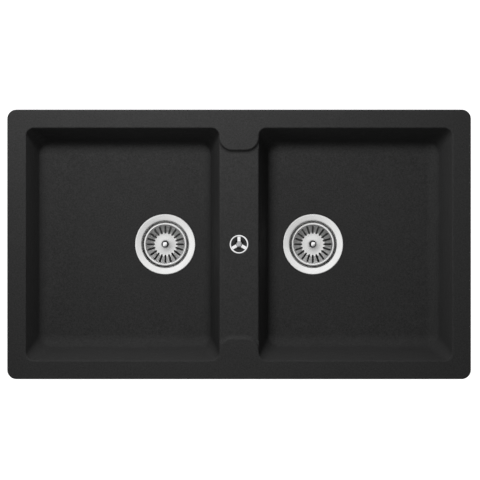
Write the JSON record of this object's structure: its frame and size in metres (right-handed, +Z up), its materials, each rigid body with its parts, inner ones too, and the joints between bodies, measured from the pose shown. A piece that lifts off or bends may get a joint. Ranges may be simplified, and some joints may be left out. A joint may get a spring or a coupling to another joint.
{
  "type": "double bowl kitchen sink",
  "caption": "Inset granite composite sink with equal bowls, lift-out basket strainers, a divider overflow, swing-out fixing clips and joined drain pipes.",
  "frame": {"origin": "middle of the sink in the plane of the rim's underside, which is the top of the worktop it is let into", "axes": "+X along the length to the right bowl, +Y to the back edge behind the overflow, +Z up out of the bowls"},
  "size_m": [0.86, 0.5, 0.4145],
  "materials": {
    "granite": "matt anthracite granite composite with a fine grain",
    "stainless": "polished stainless sheet",
    "chrome": "bright chrome",
    "zinc_steel": "zinc plated",
    "brass": "plain turned brass",
    "body_plastic": "moulded white polypropylene",
    "black_plastic": "moulded black polypropylene",
    "pipe_plastic": "smooth white polypropylene pipe",
    "nut_plastic": "moulded white polypropylene",
    "clip_plastic": "black nylon",
    "rubber": "black rubber",
    "foam": "closed-cell foam strip"
  },
  "bodies": {
    "sink": {"sink_basin": "granite", "rim_seal": "foam", "clip_plugs": "clip_plastic", "clip_screws": "zinc_steel", "left_strainer_flange": "stainless", "left_flange_gasket": "rubber", "left_lower_gasket": "rubber", "left_waste_body": "body_plastic", "left_screw_nut": "brass", "left_clamp_screw": "zinc_steel", "left_outlet_nut": "nut_plastic", "left_outlet_washer": "rubber", "left_outlet_elbow": "pipe_plastic", "right_strainer_flange": "stainless", "right_flange_gasket": "rubber", "right_lower_gasket": "rubber", "right_waste_body": "body_plastic", "right_screw_nut": "brass", "right_clamp_screw": "zinc_steel", "right_outlet_nut": "nut_plastic", "right_outlet_washer": "rubber", "right_outlet_elbow": "pipe_plastic", "tee_piece": "pipe_plastic", "tee_nuts": "nut_plastic", "tee_washers": "rubber", "overflow_grate": "chrome", "overflow_screw": "chrome", "overflow_seal": "rubber", "overflow_body": "black_plastic", "overflow_screw_nut": "brass", "overflow_pipe": "pipe_plastic", "overflow_pipe_nuts": "nut_plastic", "overflow_pipe_washers": "rubber"},
    "left_basket_assembly": {"left_basket": "stainless", "left_basket_knob": "chrome", "left_basket_plug": "rubber", "left_basket_catch": "clip_plastic"},
    "right_basket_assembly": {"right_basket": "stainless", "right_basket_knob": "chrome", "right_basket_plug": "rubber", "right_basket_catch": "clip_plastic"},
    "clip_back_1_body": {"clip_back_1": "zinc_steel"},
    "clip_back_2_body": {"clip_back_2": "zinc_steel"},
    "clip_back_3_body": {"clip_back_3": "zinc_steel"},
    "clip_back_4_body": {"clip_back_4": "zinc_steel"},
    "clip_front_1_body": {"clip_front_1": "zinc_steel"},
    "clip_front_2_body": {"clip_front_2": "zinc_steel"},
    "clip_front_3_body": {"clip_front_3": "zinc_steel"},
    "clip_front_4_body": {"clip_front_4": "zinc_steel"},
    "clip_left_body": {"clip_left": "zinc_steel"},
    "clip_right_body": {"clip_right": "zinc_steel"}
  },
  "joints": [
    {"name": "left_basket_lift", "type": "slide", "parent": "sink", "child": "left_basket_assembly", "axis": [0, 0, 1], "range_m": [0, 0.268]},
    {"name": "right_basket_lift", "type": "slide", "parent": "sink", "child": "right_basket_assembly", "axis": [0, 0, 1], "range_m": [0, 0.268]},
    {"name": "clip_back_1_swing", "type": "hinge", "parent": "sink", "child": "clip_back_1_body", "pos_m": [-0.311, 0.2305, -0.053], "axis": [0, 0, 1], "range_deg": [0, 90]},
    {"name": "clip_back_2_swing", "type": "hinge", "parent": "sink", "child": "clip_back_2_body", "pos_m": [-0.121, 0.2305, -0.053], "axis": [0, 0, 1], "range_deg": [0, 90]},
    {"name": "clip_back_3_swing", "type": "hinge", "parent": "sink", "child": "clip_back_3_body", "pos_m": [0.121, 0.2305, -0.053], "axis": [0, 0, 1], "range_deg": [0, 90]},
    {"name": "clip_back_4_swing", "type": "hinge", "parent": "sink", "child": "clip_back_4_body", "pos_m": [0.311, 0.2305, -0.053], "axis": [0, 0, 1], "range_deg": [0, 90]},
    {"name": "clip_front_1_swing", "type": "hinge", "parent": "sink", "child": "clip_front_1_body", "pos_m": [-0.311, -0.2305, -0.053], "axis": [0, 0, 1], "range_deg": [0, 90]},
    {"name": "clip_front_2_swing", "type": "hinge", "parent": "sink", "child": "clip_front_2_body", "pos_m": [-0.121, -0.2305, -0.053], "axis": [0, 0, 1], "range_deg": [0, 90]},
    {"name": "clip_front_3_swing", "type": "hinge", "parent": "sink", "child": "clip_front_3_body", "pos_m": [0.121, -0.2305, -0.053], "axis": [0, 0, 1], "range_deg": [0, 90]},
    {"name": "clip_front_4_swing", "type": "hinge", "parent": "sink", "child": "clip_front_4_body", "pos_m": [0.311, -0.2305, -0.053], "axis": [0, 0, 1], "range_deg": [0, 90]},
    {"name": "clip_left_swing", "type": "hinge", "parent": "sink", "child": "clip_left_body", "pos_m": [-0.4105, 0, -0.053], "axis": [0, 0, 1], "range_deg": [0, 90]},
    {"name": "clip_right_swing", "type": "hinge", "parent": "sink", "child": "clip_right_body", "pos_m": [0.4105, 0, -0.053], "axis": [0, 0, 1], "range_deg": [0, 90]}
  ]
}
